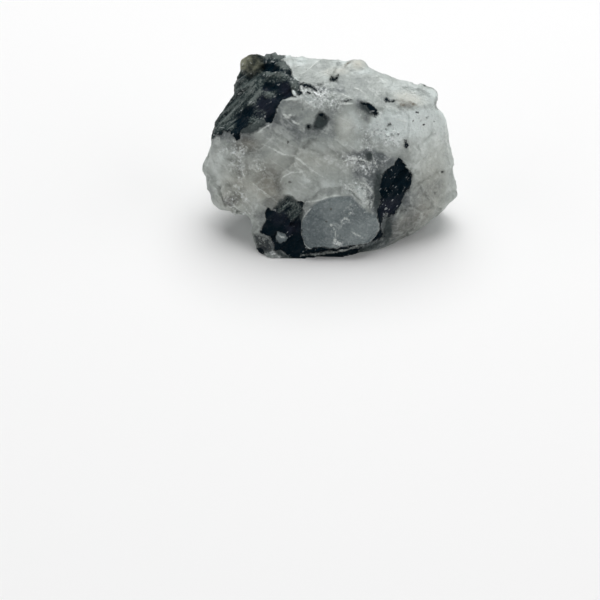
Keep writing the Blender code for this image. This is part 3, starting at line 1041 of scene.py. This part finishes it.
        # The feldspar is paler along the seams between broken facets.
        broken = facet_seam * (middle + fine - 0.5).above(0.53, 0.1)
        flaky = frost * (middle + dust * 0.6 - 0.3).above(0.44, 0.14)
        veins_and_glints = shares[Mark.VEIN_AND_GLINT] * (middle + dust * 0.8 - 0.4).above(0.38, 0.3)
        sunk = shares[Mark.SUNK] * (middle + fine + 0.05).held()
        colour = recipe.blend((clear * 2.0).held(), self.smoke, self.haze)
        for share, over in (
            ((clear * 2.0 - 1.0).held(), self.milk),
            ((recipe.read(Tint.WARMTH) * (middle + 0.5)).held() * 0.8, brown),
            (shares[Mark.PLATE] * 0.92, plate),
            (crumbs * 0.6, self.frost),
            (lines * rest * 0.22, self.frost),
            (broken * rest * 0.3, self.frost),
            ((1.0 - sparkle.above(0.25, 0.12)) * flaky * 0.5, self.smoke),
            # Painted glints on the frosted crumbs.
            ((sparkle.above(0.80, 0.06) * (flaky * 0.92 + 0.08)).held(), self.painted_glint),
            (shares[Mark.CREAM] * (middle * 1.3).held(), self.cream),
            (shares[Mark.RUST] * (fine * 1.5).held(), self.rust),
            # Pale veins and painted glints.
            (veins_and_glints * 0.78, self.vein_and_glint),
            (sunk * 0.9, self.sunk),
        ):
            colour = recipe.blend(share, colour, over)
        spots = recipe.cells(self.fleck_gap_mm) + (dust - 0.5) * 0.10 + (fine - 0.5) * 0.08
        return recipe.blend((1.0 - spots.above(0.05, 0.02)) * 0.75, colour, self.fleck)

    def share(self, recipe: Recipe, mark: Mark, wander: Wire) -> Wire:
        """Turns a mark's depth into a share from 0 to 1 with a wandering edge.

        Args:
            recipe: The material that the wires are in.
            mark: The mark to read.
            wander: How far its edge moves here, about 0.

        Returns:
            The share of the mark.
        """
        width, reach = EDGES[mark]
        return (recipe.read(mark) + wander * reach).above(0.0, width)


# The stone


def apply_modifier(piece: bpy.types.Object, kind: str, **settings: Any) -> None:
    """Adds a modifier to the active piece and applies it at once.

    Args:
        piece: The active piece.
        kind: The modifier's type.
        settings: Its properties.
    """
    modifier = piece.modifiers.new(kind.lower(), kind)
    for name, value in settings.items():
        setattr(modifier, name, value)
    bpy.ops.object.modifier_apply(modifier=modifier.name)


def select_only(piece: bpy.types.Object) -> None:
    """Makes one object the only selected one, and the active one.

    Args:
        piece: The object.
    """
    bpy.ops.object.select_all(action="DESELECT")
    piece.select_set(True)
    bpy.context.view_layer.objects.active = piece


@dataclass(frozen=True)
class Shards:
    """Space broken into odd cells, each of which tilts and lifts the skin its own way, in mm."""

    seed: int
    size: float
    slope: float
    step: float
    edge: float = 0.5

    def lift(self, places: np.ndarray) -> tuple[np.ndarray, np.ndarray, np.ndarray]:
        """Works out how far each place is lifted.

        Args:
            places: Places in mm, one to a row.

        Returns:
            For each place its height in mm, the number of its cell by chance from -1 to 1, and how
            near it is to the next cell, from 0 to 1.
        """
        chance = np.random.default_rng(self.seed)
        low = places.min(axis=0) - self.size
        counts = np.ceil((places.max(axis=0) + self.size - low) / self.size).astype(int)
        corners = np.indices(counts).reshape(3, -1).T
        middles = low + (corners + chance.random(corners.shape)) * self.size
        tree = KDTree(len(middles))
        for index, middle in enumerate(middles):
            tree.insert(middle, index)
        tree.balance()
        pairs = [tree.find_n(place, 2) for place in places]
        cell = np.array([near[1] for near, _ in pairs])
        gap = np.array([far[2] - near[2] for near, far in pairs])
        tilts = chance.normal(0.0, self.slope, middles.shape)
        lifts = chance.normal(0.0, self.step, len(middles))
        height = lifts[cell] + np.einsum("ij,ij->i", tilts[cell], places - middles[cell])
        number = chance.uniform(-1.0, 1.0, len(middles))[cell]
        return height, number, np.clip(1.0 - gap / self.edge, 0.0, 1.0)


@dataclass
class RoughStone:
    """The chunk itself. Heights and lengths of the relief are in mm."""

    node: str = "rock"
    cell: float = 0.30
    front_edge: float = 0.04
    front_reach: float = 12.0
    rest_clearance: float = 0.8
    facets: Shards = Shards(11, 6.5, 0.05, 0.06, 0.4)
    chips: Shards = Shards(12, 2.4, 0.035, 0.012, 0.25)
    crumbs: Shards = Shards(13, 1.2, 0.16, 0.06, 0.3)
    splinters: Shards = Shards(14, 1.6, 0.20, 0.15)
    facet_tone: float = 0.03
    chip_tone: float = 0.015
    crest_gain: float = 1.5
    wave_length: float = 1.6
    wave_height: float = 0.05
    splinter_squeeze: float = 0.22
    black_sink: float = 0.15
    crease_depth: float = 0.40
    cloud_length: float = 9.0
    cloud_tone: float = 0.5
    plate_rise: float = 0.16
    vein_rise: float = 0.10
    knob_swell: float = 0.40
    black_edge: float = 0.7
    plate_edge: float = 0.6
    frost_edge: float = 2.0
    vein_edge: float = 0.5
    knob_edge: float = 1.0
    crease_range: Pixel = (-1.2, 0.2)
    sharp_passes: int = 2
    blunt_passes: int = 10
    finish: StoneFinish = StoneFinish()

    def build(self) -> bpy.types.Object:
        """Builds and dresses the chunk.

        Returns:
            The finished piece.
        """
        piece = self.resample()
        depths = self.measure_marks(piece)
        tints = self.measure_tints(piece)
        self.raise_relief(piece, depths, tints)
        tints[Tint.CREST] = self.measure_crests(piece)
        for mark, values in {**depths, **tints}.items():
            attribute = piece.data.attributes.new(mark.value, "FLOAT", "POINT")
            attribute.data.foreach_set("value", values.astype(np.float32))
        piece.data.materials.clear()
        piece.data.materials.append(self.finish.make())
        select_only(piece)
        bpy.ops.object.shade_smooth()
        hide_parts(self.node)
        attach(piece, "root")
        return piece

    def resample(self) -> bpy.types.Object:
        """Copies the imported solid's skin and divides it into small even cells.

        Returns:
            The copy, an object of its own.
        """
        piece = bpy.data.objects.new("rough_stone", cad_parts[self.node].data.copy())
        bpy.context.scene.collection.objects.link(piece)
        select_only(piece)
        bpy.ops.object.mode_set(mode="EDIT")
        bpy.ops.mesh.select_all(action="SELECT")
        bpy.ops.mesh.remove_doubles(threshold=0.002 * MM)
        bpy.ops.object.mode_set(mode="OBJECT")
        apply_modifier(piece, "REMESH", mode="VOXEL", voxel_size=self.cell * MM)
        apply_modifier(piece, "SMOOTH", factor=0.5, iterations=4)
        return piece

    def facing(self, piece: bpy.types.Object) -> np.ndarray:
        """Works out how squarely each point faces the viewer.

        Args:
            piece: The stone.

        Returns:
            A number for each point, from -1 to 1.
        """
        to_viewer = np.array(VIEWER.place()) - self.points(piece)
        to_viewer /= np.linalg.norm(to_viewer, axis=1)[:, None]
        return np.einsum("ij,ij->i", self.points(piece, "normal"), to_viewer)

    def measure_marks(self, piece: bpy.types.Object) -> dict[Mark, np.ndarray]:
        """Measures how deep inside each mark every point of the skin is.

        Args:
            piece: The resampled stone.

        Returns:
            One array of depths in mm for each mark.
        """
        points = self.points(piece)
        seen = (self.facing(piece) - self.front_edge) * self.front_reach
        pixels = VIEWER.pixels(points)
        depths = {mark: np.full(len(points), FAR_OUTSIDE) for mark in Mark}
        for mark, shape in [(mark, shape) for mark in SEEN for shape in SEEN[mark]]:
            depth = np.minimum(shape.depth(pixels) / VIEWER.pixels_per_mm, seen)
            depths[mark] = np.maximum(depths[mark], depth)
        for gap in GAPS:
            depth = np.minimum(gap.depth(pixels) / VIEWER.pixels_per_mm, seen)
            depths[Mark.TOURMALINE] = np.minimum(depths[Mark.TOURMALINE], -depth)
        for mark, pocket in [(mark, pocket) for mark in HIDDEN for pocket in HIDDEN[mark]]:
            depth = np.minimum(pocket.depth(points / MM), 1.0 - seen)
            depths[mark] = np.maximum(depths[mark], depth)
        return depths

    def measure_tints(self, piece: bpy.types.Object) -> dict[Tint, np.ndarray]:
        """Adds up the glows at every point of the skin that the viewer sees.

        Args:
            piece: The resampled stone.

        Returns:
            One array of sums for each tint.
        """
        pixels = VIEWER.pixels(self.points(piece))
        seen = smooth_step(self.facing(piece) * 4.0 + 0.4)
        sums = {tint: np.zeros(len(pixels)) for tint in Tint}
        for tint, glow in [(tint, glow) for tint in GLOWS for glow in GLOWS[tint]]:
            sums[tint] += glow.strength(pixels) * seen
        return sums

    def raise_relief(
        self,
        piece: bpy.types.Object,
        depths: dict[Mark, np.ndarray],
        tints: dict[Tint, np.ndarray],
    ) -> None:
        """Raises and sinks the skin by the relief of its minerals; the rest face stays level.

        Args:
            piece: The resampled stone.
            depths: How deep inside each mark every point is.
            tints: The tints, which get the tone and the paler seams between the facets.
        """
        points, normals = self.points(piece), self.points(piece, "normal")
        places = points / MM
        black = share_inside(depths[Mark.TOURMALINE], self.black_edge)
        plate = share_inside(depths[Mark.PLATE], self.plate_edge)
        frost = share_inside(depths[Mark.FROST], self.frost_edge)
        vein_and_glint = share_inside(depths[Mark.VEIN_AND_GLINT], self.vein_edge, 0.9)
        knob = share_inside(depths[Mark.CREAM], self.knob_edge)
        growth = np.array(self.finish.growth)
        hidden = smooth_step(0.5 - self.facing(piece) * 4.0)
        along = (places @ growth) * (1.0 - self.splinter_squeeze)
        squeezed = places - growth * along[:, None]
        wave = np.array([noise.noise(Vector(place / self.wave_length)) for place in places])
        plain = (1.0 - black) * (1.0 - plate)
        facets, facet_number, facet_edge = self.facets.lift(places)
        chips, chip_number, chip_edge = self.chips.lift(places)
        crumbs, _, crumb_edge = self.crumbs.lift(places)
        tints[Tint.TONE_AND_SHADE] += facet_number * self.facet_tone + chip_number * self.chip_tone
        tints[Tint.FACET_SEAM] = np.maximum(facet_edge, chip_edge * 0.4)
        tints[Tint.FACET_SEAM] = np.maximum(tints[Tint.FACET_SEAM], crumb_edge * frost * 0.8)
        height = (facets + chips + crumbs * frost) * plain
        splinters = self.splinters.lift(squeezed)[0] * (1.0 - knob * 0.8)
        creases = np.clip(tints[Tint.TONE_AND_SHADE], *self.crease_range) * self.crease_depth
        height += black * (splinters + creases - self.black_sink)
        cloud = np.array([noise.noise(Vector(place / self.cloud_length)) for place in places])
        tints[Tint.TONE_AND_SHADE] += cloud * hidden * self.cloud_tone
        height += wave * self.wave_height * (1.0 - plate) + knob * black * self.knob_swell
        height += plate * self.plate_rise + vein_and_glint * (1.0 - black) * self.vein_rise
        height *= smooth_step(places[:, 2] / self.rest_clearance - 0.3)
        moved = points + normals * height[:, None] * MM
        moved[:, 2] = np.maximum(moved[:, 2], 0.0)
        piece.data.vertices.foreach_set("co", moved.astype(np.float32).ravel())
        piece.data.update()

    def measure_crests(self, piece: bpy.types.Object) -> np.ndarray:
        """Measures how far the skin bulges out, closely and from a little farther off.

        Args:
            piece: The stone with its relief.

        Returns:
            The bulge at each point, from -1 to 1; in a hollow it is negative.
        """
        ends = np.empty(len(piece.data.edges) * 2, np.int32)
        piece.data.edges.foreach_get("vertices", ends)
        ends = ends.reshape(-1, 2)
        points, normals = self.points(piece), self.points(piece, "normal")
        bulge = points - np.stack([spread(points[:, axis], ends) for axis in range(3)], 1)
        sharp = np.einsum("ij,ij->i", bulge, normals) / (self.cell * MM)
        for _ in range(self.sharp_passes):
            sharp = spread(sharp, ends)
        blunt = sharp
        for _ in range(self.blunt_passes):
            blunt = spread(blunt, ends)
        return np.clip((sharp + blunt * 2.0) * self.crest_gain, -1.0, 1.0)

    def points(self, piece: bpy.types.Object, measure: str = "co") -> np.ndarray:
        """Reads a measure of three numbers of a piece's points.

        Args:
            piece: The piece.
            measure: Which it is, co for their places in metres or normal for the way out.

        Returns:
            The measures, one to a row.
        """
        flat = np.empty(len(piece.data.vertices) * 3, np.float32)
        piece.data.vertices.foreach_get(measure, flat)
        return flat.reshape(-1, 3).astype(np.float64)


# The studio


@dataclass(frozen=True)
class SoftBox:
    """One round studio lamp, aimed at the stone. Lengths are in metres."""

    name: str
    place: Place
    size: float
    watts: float
    aim: Place = (0.0, 0.0, 0.015)

    def set_up(self) -> bpy.types.Object:
        """Adds the lamp.

        Returns:
            The lamp.
        """
        turn = (Vector(self.aim) - Vector(self.place)).to_track_quat("-Z", "Y")
        bpy.ops.object.light_add(type="AREA", location=self.place, rotation=turn.to_euler())
        lamp = bpy.context.object
        lamp.name = self.name
        lamp.data.shape = "DISK"
        lamp.data.size = self.size
        lamp.data.energy = self.watts
        return lamp


@dataclass(frozen=True)
class Studio:
    """The pale floor and the soft light around the stone. Lengths are in metres."""

    floor_side: float = 6.0
    floor_colour: Colour = (0.90, 0.90, 0.90)
    floor_roughness: float = 0.9
    sky_colour: Colour = (1.0, 1.0, 1.0)
    sky_strength: float = 0.20
    lamps: tuple[SoftBox, ...] = (
        SoftBox("overhead", (0.02, 0.22, 0.72), 0.80, 5.5),
        SoftBox("left_fill", (-0.70, -0.22, 0.38), 0.90, 1.15),
        SoftBox("right_fill", (0.70, -0.18, 0.34), 0.90, 1.6),
    )

    def set_up(self) -> bpy.types.Object:
        """Adds the floor, the sky and the lamps.

        Returns:
            The floor.
        """
        bpy.ops.object.select_all(action="DESELECT")
        bpy.ops.mesh.primitive_plane_add(size=self.floor_side)
        floor = bpy.context.object
        floor.name = "floor"
        recipe = Recipe("pale_floor")
        recipe.shader.inputs["Base Color"].default_value = opaque(self.floor_colour)
        recipe.shader.inputs["Roughness"].default_value = self.floor_roughness
        floor.data.materials.append(recipe.material)
        world = bpy.data.worlds.new("sky")
        world.use_nodes = True
        sky = world.node_tree.nodes["Background"]
        sky.inputs["Color"].default_value = opaque(self.sky_colour)
        sky.inputs["Strength"].default_value = self.sky_strength
        bpy.context.scene.world = world
        bpy.context.scene.view_settings.view_transform = "Standard"
        for lamp in self.lamps:
            lamp.set_up()
        return floor


def main() -> None:
    """Builds the camera, the stone and the studio."""
    logging.basicConfig(level=logging.INFO, format="%(name)s: %(message)s")
    camera = VIEWER.set_up()
    LOG.info("camera with a %.0f mm lens", camera.data.lens)
    stone = RoughStone().build()
    LOG.info("%s has %d faces", stone.name, len(stone.data.polygons))
    floor = Studio().set_up()
    LOG.info("%s is %.1f m wide", floor.name, floor.dimensions.x)


if __name__ == "__main__":
    main()
